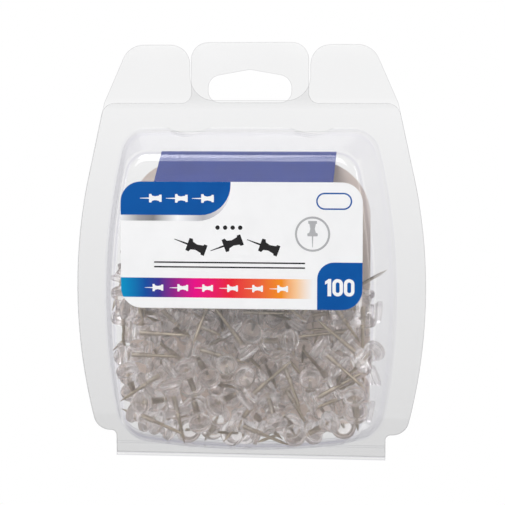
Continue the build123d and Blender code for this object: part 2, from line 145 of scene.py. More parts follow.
def mix(tree, share, base, top):
    """Shader that goes from base to top as the share goes from 0 to 1."""
    return add(tree, "ShaderNodeMixShader", {0: share, 1: base, 2: top}).outputs[0]


print("helpers for nodes: add, calculate, mix")

# %% Light of the white room
WORLD_LIGHT = 0.32
WHITE = (1, 1, 1, 1)


def seen_directly(tree):
    """1 where the eye, gloss or glass looks straight at it, and 0 where it only lights or is lit."""
    rays = add(tree, "ShaderNodeLightPath").outputs
    seen = rays["Is Camera Ray"]
    for kind in ("Is Glossy Ray", "Is Transmission Ray"):
        seen = calculate(tree, "MAXIMUM", seen, rays[kind])
    return seen


world = bpy.data.worlds.new("white_room")
scene.world = world
world.use_nodes = True
room = world.node_tree
room.nodes.clear()
lighting = add(room, "ShaderNodeBackground", {"Color": WHITE, "Strength": WORLD_LIGHT}).outputs[0]
white = add(room, "ShaderNodeBackground", {"Color": WHITE, "Strength": 1.0}).outputs[0]
add(room, "ShaderNodeOutputWorld", {"Surface": mix(room, seen_directly(room), lighting, white)})
print("world light", WORLD_LIGHT)

# %% [markdown]
# ## Lamps
# A studio lights clear things with large soft boxes, because small lamps leave hard spots on every bend.
# Area lamps are the same thing here. One above the front gives the labels and pins their shadows, and
# one just over the camera draws a pale veil along every bend that faces up. Two narrow strips at the
# sides do the same for the upright bends. One more lights the back label, and gloss doesn't show that
# one, as it would flare in the pocket's upper corners.

# %% Hang the lamps
# Offset from the aim, width and height in metres, power in watts.
LAMPS = {
    "soft_box": (Vector((-0.22, -0.50, 0.67)), 0.42, 0.42, 2.55),
    "front_box": (Vector((-0.08, -0.62, 0.28)), 0.38, 0.42, 1.25),
    "right_strip": (Vector((0.80, -0.55, 0.10)), 0.16, 0.8, 1.0),
    "left_strip": (Vector((-0.85, -0.45, 0.05)), 0.14, 0.8, 0.8),
    "rear_box": (Vector((0.10, 0.46, 0.80)), 0.8, 0.8, 5.6),
}
UNSEEN_IN_GLOSS = "rear_box"
for name, (offset, width, height, watts) in LAMPS.items():
    lamp = bpy.data.lights.new(name, "AREA")
    lamp.shape = "RECTANGLE"
    lamp.size = width
    lamp.size_y = height
    lamp.energy = watts
    stand = bpy.data.objects.new(name, lamp)
    stand.location = AIM + offset
    stand.rotation_euler = looking_back(offset)
    stand.visible_camera = False
    stand.visible_glossy = name != UNSEEN_IN_GLOSS
    scene.collection.objects.link(stand)
print("lamps:", ", ".join(LAMPS))

# %% [markdown]
# ## Floor
# The pack hangs, so the floor lies well below it, out of the way of the cover when that hangs open.
# A wide plane would end in a horizon against the room. A pale disc that fades into the white of the
# room at its rim shows none, and still takes the pack's shadow in its middle.

# %% Lay the floor
FLOOR_DROP = 0.32
FLOOR_RADIUS = 0.55
FLOOR_SIDES = 64
turns = [2 * math.pi * n / FLOOR_SIDES for n in range(FLOOR_SIDES)]
floor_mesh = bpy.data.meshes.new("floor")
floor_mesh.from_pydata(
    [(FLOOR_RADIUS * math.cos(t), FLOOR_RADIUS * math.sin(t), -FLOOR_DROP) for t in turns],
    [],
    [tuple(range(FLOOR_SIDES))],
)
floor = bpy.data.objects.new("floor", floor_mesh)
scene.collection.objects.link(floor)
print("floor", FLOOR_DROP, "m below the hang hole")

# %% [markdown]
# A finish is a material with a small tree of nodes. The next helpers start one, close it with its
# shader and stretch one range of numbers onto another. Colours are given as printed shades, from 0 to
# 255, because that is how one reads them off a colour chart, and are turned into the linear light
# that shaders count in.


# %% Helpers that start and close a finish
def new_finish(name):
    """A material with an empty tree of nodes."""
    material = bpy.data.materials.new(name)
    material.use_nodes = True
    material.node_tree.nodes.clear()
    return material, material.node_tree


def finished(material, shader):
    """The material with that shader on its surface."""
    add(material.node_tree, "ShaderNodeOutputMaterial", {"Surface": shader})
    return material


def shade(red, green, blue):
    """Linear colour of a printed shade."""
    def linear(byte):
        share = byte / 255
        return share / 12.92 if share <= 0.04045 else ((share + 0.055) / 1.055) ** 2.4
    return (linear(red), linear(green), linear(blue), 1.0)


def rescale(tree, value, start, end, low=0.0, high=1.0, **settings):
    """Number that goes from low to high while a value goes from start to end."""
    inputs = {"Value": value, "From Min": start, "From Max": end, "To Min": low, "To Max": high}
    return add(tree, "ShaderNodeMapRange", inputs, **settings).outputs["Result"]


print("helpers for finishes: new_finish, finished, shade, rescale")

# %% Finish of the floor
FLOOR_SHADE = shade(236, 236, 236)
FADE_START = 0.3 * FLOOR_RADIUS
FADE_END = 0.98 * FLOOR_RADIUS


def pale_floor():
    """Pale paint that turns to the white of the room from the middle to the rim."""
    material, tree = new_finish("pale_floor")
    paint = add(tree, "ShaderNodeBsdfDiffuse", {"Color": FLOOR_SHADE}).outputs[0]
    glow = add(tree, "ShaderNodeEmission", {"Color": WHITE, "Strength": 1.0}).outputs[0]
    spot = add(tree, "ShaderNodeTexCoord").outputs["Object"]
    flat = add(tree, "ShaderNodeVectorMath", {0: spot, 1: (1, 1, 0)}, operation="MULTIPLY").outputs[0]
    reach = add(tree, "ShaderNodeVectorMath", {0: flat}, operation="LENGTH").outputs["Value"]
    rim = rescale(tree, reach, FADE_START, FADE_END, interpolation_type="SMOOTHSTEP")
    fade = calculate(tree, "MULTIPLY", rim, seen_directly(tree))
    return finished(material, mix(tree, fade, paint, glow))


floor_mesh.materials.append(pale_floor())
print("floor fades between", round(FADE_START, 3), "and", round(FADE_END, 3), "m from its middle")

# %% [markdown]
# ## Clear sheet of the case
# The case is half a millimetre of clear plastic. Light goes through such a thin sheet almost straight,
# so a true refracting glass would only cost time and throw dark spots. A straight-through pane with
# a gloss on top shows the same.
# Seen face-on the pane takes a few percent of the light, and seen along its surface it takes much more
# and turns to a cool grey. A bend acts as a narrow lens, which throws some light aside: a dip at middle
# slants paints the shade of it as a thin cool line. The pane is also painted a little greyer towards the
# fold and at the tab and ears, a painted shade which on the flat tab also offsets the lamps' gloss, and
# a painted step of grey above the fold stands for a faint crease. A cut edge looks darker than the faces
# beside it, as light is thrown aside there too, so a painted shade darkens the pane where the bevel node
# tells that the surface turns over.

# %% Tint of the clear sheet
SLANT_TINTS = (
    (0.0, (0.970, 0.970, 0.971, 1)),
    (0.10, (0.965, 0.965, 0.967, 1)),
    (0.30, (0.902, 0.897, 0.924, 1)),
    (0.52, (0.976, 0.975, 0.979, 1)),
    (0.72, (0.974, 0.973, 0.977, 1)),
    (0.88, (0.89, 0.885, 0.91, 1)),
    (1.0, (0.58, 0.57, 0.63, 1)),
)
# Painted shade by height: shares of the solids' height, with the grey of the pane at each.
HEIGHT_GREYS = ((0.0, 0.932), (0.098, 0.940), (0.104, 0.950), (0.84, 0.998), (0.87, 0.972), (1.0, 0.966))
# Painted shade at cut edges and bends: how wide it is, where it starts and how dark it gets.
EDGE_WIDTH = 0.35 * MM
EDGE_TURN = 0.75
EDGE_SHADE = 0.72


def grey(level):
    """Neutral colour of that level."""
    return (level, level, level, 1)


def ramp(tree, factor, *stops):
    """Colour ramp through stops of place and colour, lowest first."""
    made = add(tree, "ShaderNodeValToRGB", {"Fac": factor})
    elements = made.color_ramp.elements
    elements.remove(elements[1])
    elements[0].position, elements[0].color = stops[0]
    for place, colour in stops[1:]:
        elements.new(place).color = colour
    return made.outputs["Color"]


def sheet_tint(tree, slant, height):
    """Colour of what comes through the sheet: by its slant, with a painted shade line at bends, and
    painted shade by height and at cut edges.
    """
    through = ramp(tree, slant, *SLANT_TINTS)
    share = rescale(tree, height, solid_box[0].z, solid_box[1].z)
    # Painted shade by height: greyer towards the fold and at the tab and ears.
    height_shade = ramp(tree, share, *((place, grey(level)) for place, level in HEIGHT_GREYS))
    face = add(tree, "ShaderNodeVectorMath", {0: through, 1: height_shade}, operation="MULTIPLY").outputs[0]
    # Painted shade where the bevel's normal turns away from the surface's own, at cut edges and bends.
    soft = add(tree, "ShaderNodeBevel", {"Radius": EDGE_WIDTH}, samples=4).outputs["Normal"]
    sharp = add(tree, "ShaderNodeNewGeometry").outputs["Normal"]
    alike = add(tree, "ShaderNodeVectorMath", {0: soft, 1: sharp}, operation="DOT_PRODUCT")
    edge = rescale(tree, alike.outputs["Value"], EDGE_TURN, 1.0, EDGE_SHADE, 1.0)
    return add(tree, "ShaderNodeVectorMath", {0: face, "Scale": edge}, operation="SCALE").outputs[0]


print("the sheet's tint has", len(SLANT_TINTS), "stops by slant and", len(HEIGHT_GREYS), "by height")

# %% [markdown]
# Forming leaves the surface faintly wavy, so its gloss gets relief from a broad noise. A mesh could
# carry the waves too, but they are far too shallow to be seen in the outline. Gloss grows towards the
# rims, where one looks along the surface. The flange, which the press clamps, stays duller than the
# pocket.

# %% Gloss of the clear sheet
SHEET_WAVE = 14 * MM
SHEET_RELIEF = 0.06 * MM
SHEET_ROUGHNESS = (0.06, 0.12)
SHEET_GLOSS = (0.05, 0.6)
RIM_POWER = 3.0
FLANGE_REACH = (-6.0 * MM, -2.5 * MM)
FLANGE_DULL = 0.25


def grain(tree, size, detail=3.0, stretch=(1.0, 1.0, 1.0)):
    """Noise in the object's own space, with grains of about that size in metres."""
    spot = add(tree, "ShaderNodeTexCoord").outputs["Object"]
    scaled = add(tree, "ShaderNodeMapping", {"Vector": spot, "Scale": stretch}).outputs["Vector"]
    inputs = {"Vector": scaled, "Scale": 1 / size, "Detail": detail}
    return add(tree, "ShaderNodeTexNoise", inputs).outputs["Fac"]


def between(tree, factor, low, high):
    """Turns a share into a number from low to high."""
    return rescale(tree, factor, 0.0, 1.0, low, high)


def bump(tree, height, depth):
    """Normal of a surface with that much relief, in metres."""
    inputs = {"Height": height, "Strength": 1.0, "Distance": depth}
    return add(tree, "ShaderNodeBump", inputs).outputs["Normal"]


def towards_rim(tree, slant, low, high):
    """Number that is low where one looks straight at a surface, and rises to high along it."""
    return between(tree, calculate(tree, "POWER", slant, RIM_POWER), low, high)


def sheet_gloss(tree, slant, depth):
    """Gloss of the sheet, and how much of it shows."""
    wave = grain(tree, SHEET_WAVE, detail=0.0)
    roughness = between(tree, wave, *SHEET_ROUGHNESS)
    inputs = {"Color": WHITE, "Roughness": roughness, "Normal": bump(tree, wave, SHEET_RELIEF)}
    gloss = add(tree, "ShaderNodeBsdfAnisotropic", inputs).outputs[0]
    polish = rescale(tree, depth, *FLANGE_REACH, 1.0, FLANGE_DULL)
    bright = towards_rim(tree, slant, *SHEET_GLOSS)
    return gloss, calculate(tree, "MULTIPLY", bright, polish)


print("gloss from", SHEET_GLOSS[0], "face-on to", SHEET_GLOSS[1], "at the rims")

# %% [markdown]
# Pane and gloss now become one finish. A lamp's shadow ray counts no gloss, and the pane's greys would
# add up to a dark heap, so for shadow rays alone the sheet is a plain pane and the lamps reach the pins.
# The solids of the case keep their shapes and only get this finish.

# %% Dress the case in clear sheet
PANE_FOR_LAMPS = grey(0.985)


def slant_of(tree):
    """0 where one looks straight at a surface, and 1 where one looks along it."""
    return add(tree, "ShaderNodeLayerWeight", {"Blend": 0.5}).outputs["Facing"]


def own_spot(tree):
    """X, Y and Z of a point in the object's own space."""
    spot = add(tree, "ShaderNodeTexCoord").outputs["Object"]
    return add(tree, "ShaderNodeSeparateXYZ", {"Vector": spot}).outputs


def plain_for_lamps(tree, look, tint):
    """The look, with a plain pane of that tint in its place for the shadow rays of lamps."""
    pane = add(tree, "ShaderNodeBsdfTransparent", {"Color": tint}).outputs[0]
    return mix(tree, add(tree, "ShaderNodeLightPath").outputs["Is Shadow Ray"], look, pane)


def clear_sheet():
    """Thin clear plastic: a tinted pane under a wavy gloss."""
    material, tree = new_finish("clear_sheet")
    slant, spot = slant_of(tree), own_spot(tree)
    tint = sheet_tint(tree, slant, spot["Z"])
    pane = add(tree, "ShaderNodeBsdfTransparent", {"Color": tint}).outputs[0]
    gloss, share = sheet_gloss(tree, slant, spot["Y"])
    return finished(material, plain_for_lamps(tree, mix(tree, share, pane, gloss), PANE_FOR_LAMPS))


def dress(name, finish):
    """Gives a solid of the frame one finish all over."""
    slots = solids[name].data.materials
    slots.clear()
    slots.append(finish)


sheet = clear_sheet()
for name in ("tray", "cover", "fold_bead"):
    dress(name, sheet)
    print(name, len(solids[name].data.polygons), "faces in clear sheet")

# %% [markdown]
# ## Paper and print
# The front label is coated paper with flat printed areas. It could be painted as one picture on one
# plate, but ink edges stay sharper, also close up, when every printed area is a thin piece of its own
# on the paper. All of them share the label's thickness: paper first, then ink, then ink on ink.


# %% Outlines with rounded corners
def arc(centre, radius, start, end, count=10):
    """Points along an arc, with angles in degrees."""
    turns = np.radians(np.linspace(start, end, count))
    return [(centre[0] + radius * math.cos(t), centre[1] + radius * math.sin(t)) for t in turns]


def rounded(left, foot, right, top, corners):
    """Rectangle with a radius for each corner: lower left, lower right, upper right, upper left."""
    middles = ((left, foot, 1, 1), (right, foot, -1, 1), (right, top, -1, -1), (left, top, 1, -1))
    points = []
    for (x, z, inward, upward), radius, start in zip(middles, corners, (180, 270, 0, 90)):
        if radius:
            points += arc((x + inward * radius, z + upward * radius), radius, start, start + 90)
        else:
            points.append((x, z))
    return points


print("a rounded corner has", len(arc((0, 0), 1, 0, 90)), "points")


# %% Thin plates cut from outlines
def flat_mesh(name, outlines, back, front, rings=()):
    """Closed plates between two depths: one for each outline of x and z, or ring of two outlines."""
    made = bmesh.new()

    def lay(outline, depth):
        return [made.verts.new((x, depth, z)) for x, z in outline]

    def wall(one, other):
        for n in range(len(one)):
            made.faces.new((one[n - 1], one[n], other[n], other[n - 1]))

    for outline in outlines:
        rear, fore = lay(outline, back), lay(outline, front)
        made.faces.new(rear)
        made.faces.new(fore)
        wall(rear, fore)
    for outer, inner in rings:
        loops = [lay(outer, back), lay(inner, back), lay(inner, front), lay(outer, front)]
        for n, loop in enumerate(loops):
            wall(loops[n - 1], loop)
    bmesh.ops.recalc_face_normals(made, faces=made.faces)
    mesh = bpy.data.meshes.new(name)
    made.to_mesh(mesh)
    made.free()
    return mesh


print("helper for plates: flat_mesh")


# %% Pieces that ride on a body
def place(mesh, finish, body, slot):
    """Puts a mesh into the scene as a piece that rides on a body."""
    mesh.materials.append(finish)
    piece = bpy.data.objects.new(mesh.name, mesh)
    scene.collection.objects.link(piece)
    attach(piece, body)
    return piece


def print_area(name, ink, depths, outlines, rings=(), body="tray", slot="label_paper"):
    """A printed area as a piece, from its back to its front depth."""
    return place(flat_mesh(name, outlines, *depths, rings), ink, body, slot)


print("helpers for pieces: place, print_area")

# %% [markdown]
# Coated paper is smooth but not a mirror: a fine tooth breaks its gloss, and its white drifts by a
# shade. Ink lies flat on it with a slightly higher gloss. Each could have a finish of its own, but one
# recipe serves for both, with the colour and the roughness as its choices.

# %% Finishes of paper and ink
PAPER_DRIFT = 9 * MM
TOOTH_SPREAD = (-0.08, 0.10)


def drift(tree, noise, dark, light):
    """Colour that drifts from dark to light, over the middle range that a noise mostly keeps to."""
    return ramp(tree, noise, (0.3, dark), (0.7, light))


def coated(tree, colour, roughness, mirror=0.12, tooth=0.35 * MM, relief=0.006 * MM):
    """Shader of paper or ink whose gloss is broken by a fine tooth."""
    fibre = grain(tree, tooth, detail=5.0)
    inputs = {
        "Base Color": colour,
        "Roughness": between(tree, fibre, *roughness),
        "Specular IOR Level": mirror,
        "Normal": bump(tree, fibre, relief),
    }
    return add(tree, "ShaderNodeBsdfPrincipled", inputs).outputs[0]


def paper_finish(name, light, dark, roughness=0.45):
    """Coated stock or ink that drifts between two shades."""
    material, tree = new_finish(name)
    colour = drift(tree, grain(tree, PAPER_DRIFT, detail=4.0), dark, light)
    return finished(material, coated(tree, colour, [roughness + change for change in TOOTH_SPREAD]))


label_white = paper_finish("label_white", shade(250, 250, 251), shade(246, 246, 247))
ink_blue = paper_finish("ink_blue", shade(4, 88, 166), shade(0, 80, 156), 0.38)
ink_black = paper_finish("ink_black", shade(38, 37, 38), shade(28, 27, 29), 0.40)
ink_grey = paper_finish("ink_grey", shade(186, 186, 188), shade(174, 174, 177), 0.42)
print("paper and three inks")

# %% [markdown]
# The label is a rectangle of paper with round corners, stuck to the front of the pocket. Its solid is
# one plate, which would hide ink laid into it, so a thinner plate takes its place and leaves room for
# two layers of ink in front. All that is printed is placed in mm from the label's upper left corner.

# %% The label's paper
label_low, label_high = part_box("front_label")
LABEL_WIDTH = label_high.x - label_low.x
LABEL_HEIGHT = label_high.z - label_low.z
LABEL_CORNER = 7.0 * MM
INK = 0.02 * MM
OVERLAP = INK / 4
INK_BACK = label_low.y + 2 * INK
INK_FRONT = label_low.y + INK
OVERPRINT_FRONT = label_low.y + OVERLAP
ON_PAPER = (INK_BACK, INK_FRONT)
ON_INK = (INK_FRONT, OVERPRINT_FRONT)


def on_label(across, down):
    """Point of the frame at a distance in mm from the label's upper left corner."""
    return label_low.x + across * MM, label_high.z - down * MM


paper = rounded(label_low.x, label_low.z, label_high.x, label_high.z, (LABEL_CORNER,) * 4)
label_sheet = print_area("label_paper", label_white, (label_high.y, INK_BACK), [paper])
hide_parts("front_label")
print("label", round(LABEL_WIDTH / MM, 1), "by", round(LABEL_HEIGHT / MM, 1), "mm")

# %% [markdown]
# The header is a blue field whose lower right corner sweeps round in one wide curve. Under it lies
# a metallic rule. A rule of even width could follow the sweep, but this one is the header's own shape
# set a little lower, so it narrows along the sweep until it runs out at the top edge. Its ink shows
# soft bands of light, and a ramp along the label paints them.

# %% Metallic ink
HEADER_WIDTH = 38.0
RULE_BANDS = (
    (0.0, shade(226, 226, 228)),
    (0.16, shade(150, 148, 152)),
    (0.30, shade(120, 118, 122)),
    (0.52, shade(238, 238, 240)),
    (0.75, shade(168, 166, 172)),
    (1.0, shade(222, 222, 226)),
)
RULE_METAL = 0.35
RULE_GRAIN = 0.3 * MM
RULE_ROUGHNESS = (0.30, 0.42)


def along_label(tree, length):
    """Share of the way from the label's left edge to a distance in mm."""
    return rescale(tree, own_spot(tree)["X"], label_low.x, label_low.x + length * MM)


def silver_rule():
    """Metallic ink with soft bands of light along it."""
    material, tree = new_finish("silver_rule")
    inputs = {
        "Base Color": ramp(tree, along_label(tree, HEADER_WIDTH), *RULE_BANDS),
        "Metallic": RULE_METAL,
        "Roughness": between(tree, grain(tree, RULE_GRAIN), *RULE_ROUGHNESS),
    }
    return finished(material, add(tree, "ShaderNodeBsdfPrincipled", inputs).outputs[0])


silver = silver_rule()
print("metallic ink with", len(RULE_BANDS), "stops of light")

# %% Header and its rule
HEADER_HEIGHT = 11.4
HEADER_SWEEP = 10.4
RULE_DROP = 2.0


def header_outline(drop):
    """Outline of the header, its foot lowered by a distance in mm."""
    left, foot = on_label(0, HEADER_HEIGHT + drop)
    right, top = on_label(HEADER_WIDTH, 0)
    return rounded(left, foot, right, top, (0, (HEADER_SWEEP + drop / 2) * MM, 0, LABEL_CORNER))


print_area("label_silver_rule", silver, ON_PAPER, [header_outline(RULE_DROP)])
print_area("label_header", ink_blue, ON_INK, [header_outline(0)])
print("header", HEADER_WIDTH, "by", HEADER_HEIGHT, "mm")

# %% [markdown]
# A band of colour runs along the label's foot: teal, blue, violet, magenta, red and orange, and it fades
# out into the paper before it reaches the count. Strips of flat colour would show steps, so a ramp
# along the label paints it in one. Its left end follows the rounded corner of the label, and its
# outline borrows that corner's arc.

# %% Colour band
BAND_TOP = 33.0
BAND_FOOT = 39.7
BAND_WIDTH = 66.0
BAND_CORNER_POINTS = 8
BAND_ROUGHNESS = (0.30, 0.46)
BAND_COLOURS = (
    (0.0, shade(0, 148, 200)),
    (0.13, shade(16, 78, 160)),
    (0.20, shade(58, 52, 144)),
    (0.28, shade(146, 36, 138)),
    (0.39, shade(236, 6, 136)),
    (0.57, shade(236, 36, 58)),
    (0.72, shade(240, 98, 60)),
    (0.84, shade(248, 146, 34)),
    (0.92, shade(252, 206, 160)),
    (1.0, shade(247, 247, 248)),
)


def colour_band():
    """Ink that runs through all colours of the band from left to right."""
    material, tree = new_finish("colour_band")
    colours = ramp(tree, along_label(tree, BAND_WIDTH), *BAND_COLOURS)
    return finished(material, coated(tree, colours, BAND_ROUGHNESS))


def band_outline():
    """Band whose lower left follows the corner of the label."""
    left, foot = on_label(0, BAND_FOOT)
    right, top = on_label(BAND_WIDTH, BAND_TOP)
    centre = (label_low.x + LABEL_CORNER, label_low.z + LABEL_CORNER)
    reach = math.degrees(math.asin((centre[1] - foot) / LABEL_CORNER))
    corner = arc(centre, LABEL_CORNER, 180, 180 + reach, BAND_CORNER_POINTS)
    return [(left, top), *corner, (right, foot), (right, top)]


print_area("label_colour_band", colour_band(), ON_PAPER, [band_outline()])
print("band", BAND_WIDTH, "mm long")

# %% [markdown]
# The count stands in white on a blue box in the lower right corner. A text object could write it, but
# its outlines depend on a font. The figures are cut like every other printed area: the one is an
# outline with a flag, and each nought is a ring between two rounded outlines.

# %% Count box and its figures
BOX_LEFT = 67.6
BOX_TOP = 27.2
BOX_CORNER = 5.8
FIGURE_LEFT = 70.3
FIGURE_FOOT = 38.7
FIGURE_HEIGHT = 5.9
ONE = (
    (0.85, 0.0), (2.1, 0.0), (2.1, FIGURE_HEIGHT), (1.2, FIGURE_HEIGHT),
    (0.0, 5.0), (0.0, 3.9), (0.85, 4.5),
)
NOUGHT_LEFTS = (2.5, 6.4)
NOUGHT_WIDTH = 3.6
NOUGHT_ROUND = 0.48
STROKE = 1.15


def nought(left, inset):
    """Outline of a nought, drawn in by a distance in mm."""
    x, z = on_label(FIGURE_LEFT + left + inset, FIGURE_FOOT - inset)
    width, height = NOUGHT_WIDTH - 2 * inset, FIGURE_HEIGHT - 2 * inset
    return rounded(x, z, x + width * MM, z + height * MM, (NOUGHT_ROUND * width * MM,) * 4)


box_left, box_top = on_label(BOX_LEFT, BOX_TOP)
box = rounded(box_left, label_low.z, label_high.x, box_top, (0, LABEL_CORNER, 0, BOX_CORNER * MM))
print_area("label_count_box", ink_blue, ON_PAPER, [box])
one = [on_label(FIGURE_LEFT + x, FIGURE_FOOT - z) for x, z in ONE]
noughts = [(nought(left, 0.0), nought(left, STROKE)) for left in NOUGHT_LEFTS]
count = print_area("label_count", label_white, ON_INK, [one], noughts)
print("count of 100 in", len(count.data.polygons), "faces")

# %% [markdown]
# The rest of the label carries plain marks: an empty frame at the upper right, a pin in a ring below
# it, and dark pins, dots and rules in the middle. Each could be drawn by itself, but one outline of
# a pin, seen from the side, serves at any size and tilt, and one outline with round ends serves for
# frames, rings, dots and rules.

# %% Outlines of printed pins, rings and rules
# One side of a pin: shares of its length, from the point to the head, with the half width at each.
ICON_HALF = (
    (0.0, 0.010), (0.42, 0.028), (0.42, 0.19), (0.52, 0.20), (0.56, 0.12), (0.70, 0.085), (0.88, 0.12),
    (0.90, 0.165), (1.0, 0.165),
)
ROUND_END = 0.999


def pin_icon(middle, length, tilt, on=on_label):
    """Outline of a pin from its point to its head, tilted by an angle in degrees."""
    side = [(along - 0.5, half) for along, half in ICON_HALF]
    points = side + [(along, -half) for along, half in side[::-1]]
    turn = math.radians(tilt)
    x, z = on(*middle)
    return [
        (
            x + length * MM * (along * math.cos(turn) - half * math.sin(turn)),
            z + length * MM * (along * math.sin(turn) + half * math.cos(turn)),
        )
        for along, half in points
    ]


def pill(middle, width, height, inset=0.0, on=on_label):
    """Outline with round ends, or a circle where both sizes are the same, drawn in by mm."""
    x, z = on(*middle)
    half_x, half_z = (width / 2 - inset) * MM, (height / 2 - inset) * MM
    corner = ROUND_END * min(half_x, half_z)
    return rounded(x - half_x, z - half_z, x + half_x, z + half_z, (corner,) * 4)


def line_round(middle, width, height, stroke, on=on_label):
    """Ring along a pill or a circle."""
    return pill(middle, width, height, 0.0, on), pill(middle, width, height, stroke, on)


print("a pin's outline has", 2 * len(ICON_HALF), "points")

# %% [markdown]
# The marks go on in one piece for each ink and place. Every mark could be a piece of its own, but those
# of one ink dry as one layer, and few pieces are easier to keep in order. Rows of equal marks are given
# by their start, their level, their step and their number.

# %% Plain marks on the paper
FRAME_MIDDLE = (73.3, 6.4)
FRAME_SIZE = (12.2, 5.8)
FRAME_STROKE = 0.5
RING_MIDDLE = (66.0, 17.6)
RING_WIDTH = 12.0
RING_STROKE = 0.7
RINGED_PIN = 9.0
DARK_ROW = (24.0, 21.6, 12.5, 3)
DARK_PIN = 11.5
DARK_TILTS = (-20, 20, -20)
DOT_ROW = (33.5, 15.6, 2.6, 4)
DOT = 1.5
RULE_MIDDLES = ((37.5, 27.6), (37.5, 29.2))
RULE_SIZE = (52.0, 0.5)
UPRIGHT = 90


def row(left, down, step, number):
    """Middles of marks in a row."""
    return [(left + step * n, down) for n in range(number)]


empty_frame = line_round(FRAME_MIDDLE, *FRAME_SIZE, FRAME_STROKE)
print_area("label_frame", ink_blue, ON_PAPER, [], [empty_frame])
grey_pin = pin_icon(RING_MIDDLE, RINGED_PIN, UPRIGHT)
grey_ring = line_round(RING_MIDDLE, RING_WIDTH, RING_WIDTH, RING_STROKE)
print_area("label_ringed_pin", ink_grey, ON_PAPER, [grey_pin], [grey_ring])
dark_marks = [pin_icon(middle, DARK_PIN, tilt) for middle, tilt in zip(row(*DARK_ROW), DARK_TILTS)]
dark_marks += [pill(middle, DOT, DOT) for middle in row(*DOT_ROW)]
dark_marks += [pill(middle, *RULE_SIZE) for middle in RULE_MIDDLES]
print_area("label_dark_marks", ink_black, ON_PAPER, dark_marks)
print("a frame, a ringed pin and", len(dark_marks), "dark marks")

# %% White pins on the ink
HEADER_ROW = (10.5, 5.7, 9.0, 3)
HEADER_PIN = 7.5
BAND_ROW = (11.5, 36.4, 8.6, 6)
BAND_PIN = 6.4
LEVEL = 0
ON_HEADER = (INK_FRONT, OVERPRINT_FRONT - OVERLAP)

header_pins = [pin_icon(middle, HEADER_PIN, LEVEL) for middle in row(*HEADER_ROW)]
print_area("label_header_pins", label_white, ON_HEADER, header_pins)
band_pins = [pin_icon(middle, BAND_PIN, LEVEL) for middle in row(*BAND_ROW)]
print_area("label_band_pins", label_white, ON_INK, band_pins)
print("white pins:", len(header_pins), "on the header and", len(band_pins), "on the band")

# %% [markdown]
# ## Card and back label
# The loose card is blue board, printed and lightly varnished. The back label is paper stuck behind the
# plug: its glued side, which one sees from the front through the case, is a warm cream, partly its own
# colour and partly painted shade from inside the case, and its printed side is white. Two plates could
# show that, but the label is one thin solid, so its finish asks which way the surface faces in the
# piece's own space.

# %% Dress the card and the back label
BACK_DRIFT = 12 * MM
BACK_ROUGHNESS = (0.45, 0.62)
BACK_MIRROR = 0.5
BACK_TOOTH = 0.4 * MM
BACK_RELIEF = 0.008 * MM


def two_sided_paper():
    """Paper that is white on its printed side and warm cream on its glued side, a tint that is partly
    painted shade.
    """
    material, tree = new_finish("back_paper")
    facing = add(tree, "ShaderNodeTexCoord").outputs["Normal"]
    y = add(tree, "ShaderNodeSeparateXYZ", {"Vector": facing}).outputs["Y"]
    rear = calculate(tree, "GREATER_THAN", y, 0.0)
    noise = grain(tree, BACK_DRIFT, detail=4.0)
    # Glued side: warm cream, partly its own colour and partly painted shade from inside the case.
    glued_tint_and_shade = drift(tree, noise, shade(242, 224, 211), shade(249, 233, 221))
    printed = drift(tree, noise, shade(240, 240, 242), shade(247, 247, 248))
    sides = {"Factor": rear, "A": glued_tint_and_shade, "B": printed}
    colour = add(tree, "ShaderNodeMix", sides, data_type="RGBA").outputs["Result"]
    return finished(material, coated(tree, colour, BACK_ROUGHNESS, BACK_MIRROR, BACK_TOOTH, BACK_RELIEF))


dress("insert_card", paper_finish("blue_board", shade(38, 60, 142), shade(32, 52, 130), 0.40))
dress("back_label", two_sided_paper())
print("card and back label dressed")

# %% [markdown]
# The printed side of the back label can't be seen in a picture from the front. It could stay bare, but
# a real one would not be. It gets the plainest print that such a label could carry, cut like the marks
# on the front: a blue bar with three pins, ruled lines and a pin in a ring.

# %% Print on the back label
back_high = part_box("back_label")[1]
BACK_INK_FRONT = back_high.y + INK
ON_BACK_PAPER = (back_high.y, BACK_INK_FRONT)
ON_BACK_INK = (BACK_INK_FRONT, BACK_INK_FRONT + OVERLAP)
BAR_MIDDLE = (43.0, 22.0)
BAR_SIZE = (66.0, 11.0)
BAR_ROW = (27.0, 22.0, 16.0, 3)
BAR_PIN = 12.0
LINE_LEFT = 32.0
LINE_TOP = 40.0
LINE_STEP = 7.0
LINE_LENGTHS = (42.0, 42.0, 36.0, 42.0, 42.0, 24.0)
LINE_STROKE = 0.9
BACK_RING_MIDDLE = (19.0, 47.5)
BACK_RING_WIDTH = 17.0
BACK_RINGED_PIN = 13.0


def on_back(across, down):
    """Point at a distance in mm from the back label's upper left corner, seen from behind."""
    return back_high.x - across * MM, back_high.z - down * MM


def print_back(name, ink, depths, outlines, rings=()):
    """A printed area of the back label, which moves with the cover."""
    return print_area(name, ink, depths, outlines, rings, "cover", "back_paper")


print_back("back_label_bar", ink_blue, ON_BACK_PAPER, [pill(BAR_MIDDLE, *BAR_SIZE, on=on_back)])
bar_pins = [pin_icon(middle, BAR_PIN, LEVEL, on_back) for middle in row(*BAR_ROW)]
print_back("back_label_pins", label_white, ON_BACK_INK, bar_pins)
lines = [
    pill((LINE_LEFT + length / 2, LINE_TOP + LINE_STEP * n), length, LINE_STROKE, on=on_back)
    for n, length in enumerate(LINE_LENGTHS)
]
ringed = pin_icon(BACK_RING_MIDDLE, BACK_RINGED_PIN, UPRIGHT, on_back)
ring = line_round(BACK_RING_MIDDLE, BACK_RING_WIDTH, BACK_RING_WIDTH, LINE_STROKE, on_back)
print_back("back_label_lines", ink_grey, ON_BACK_PAPER, [*lines, ringed], [ring])
print("back print:", len(bar_pins), "pins,", len(lines), "lines")

